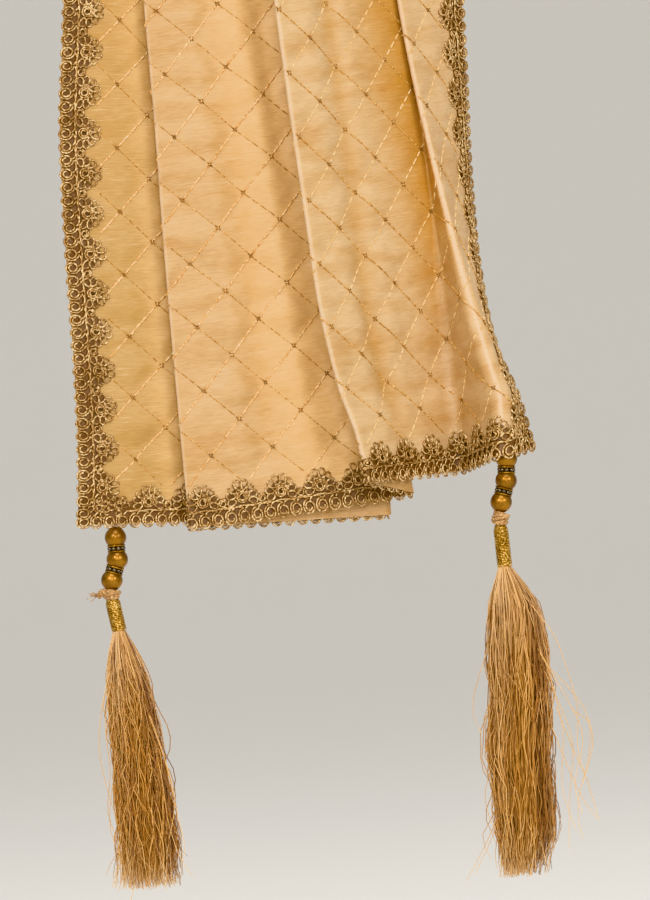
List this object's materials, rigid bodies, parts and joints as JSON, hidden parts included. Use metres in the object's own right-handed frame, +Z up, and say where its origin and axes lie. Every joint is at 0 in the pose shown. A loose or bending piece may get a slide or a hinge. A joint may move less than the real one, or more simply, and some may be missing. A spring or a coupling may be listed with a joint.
{
  "type": "dupatta stole",
  "caption": "Long embroidered silk stole with corded flower lace all round and beaded tassels at its corners, pleated lengthwise and hung over one shoulder.",
  "frame": {"origin": "underside of the cloth at the top of its arch, where the wearer's shoulder carries it", "axes": "+Z up; the longer, front end hangs on -Y and the shorter, back end on +Y; +X is to the right when the front end is seen from in front"},
  "size_m": [0.2182, 0.2564, 1.3353],
  "materials": {
    "silk": "embroidered silk, satin sheen",
    "gold_lace": "corded antique-gold lace",
    "gold_bead": "satin antique-gold pearl bead",
    "brass_rondelle": "dark brass ring set with small stones",
    "peach_thread": "twisted silk thread",
    "gold_thread": "tightly wound gold thread",
    "silk_floss": "loose silk floss"
  },
  "bodies": {
    "root": {"cloth_front_fall": "silk", "cloth_shoulder": "silk", "cloth_back_fall": "silk", "lace_front_hem": "gold_lace", "lace_back_hem": "gold_lace", "lace_edge_a": "gold_lace", "lace_edge_d": "gold_lace", "bead_front_a_1": "gold_bead", "bead_front_a_2": "gold_bead", "bead_front_a_3": "gold_bead", "rondelle_front_a_1": "brass_rondelle", "rondelle_front_a_2": "brass_rondelle", "knot_front_a": "peach_thread", "neck_front_a": "gold_thread", "skirt_front_a": "silk_floss", "bead_front_d_1": "gold_bead", "bead_front_d_2": "gold_bead", "bead_front_d_3": "gold_bead", "rondelle_front_d_1": "brass_rondelle", "rondelle_front_d_2": "brass_rondelle", "knot_front_d": "peach_thread", "neck_front_d": "gold_thread", "skirt_front_d": "silk_floss", "bead_back_a_1": "gold_bead", "bead_back_a_2": "gold_bead", "bead_back_a_3": "gold_bead", "rondelle_back_a_1": "brass_rondelle", "rondelle_back_a_2": "brass_rondelle", "knot_back_a": "peach_thread", "neck_back_a": "gold_thread", "skirt_back_a": "silk_floss", "bead_back_d_1": "gold_bead", "bead_back_d_2": "gold_bead", "bead_back_d_3": "gold_bead", "rondelle_back_d_1": "brass_rondelle", "rondelle_back_d_2": "brass_rondelle", "knot_back_d": "peach_thread", "neck_back_d": "gold_thread", "skirt_back_d": "silk_floss"}
  },
  "joints": []
}
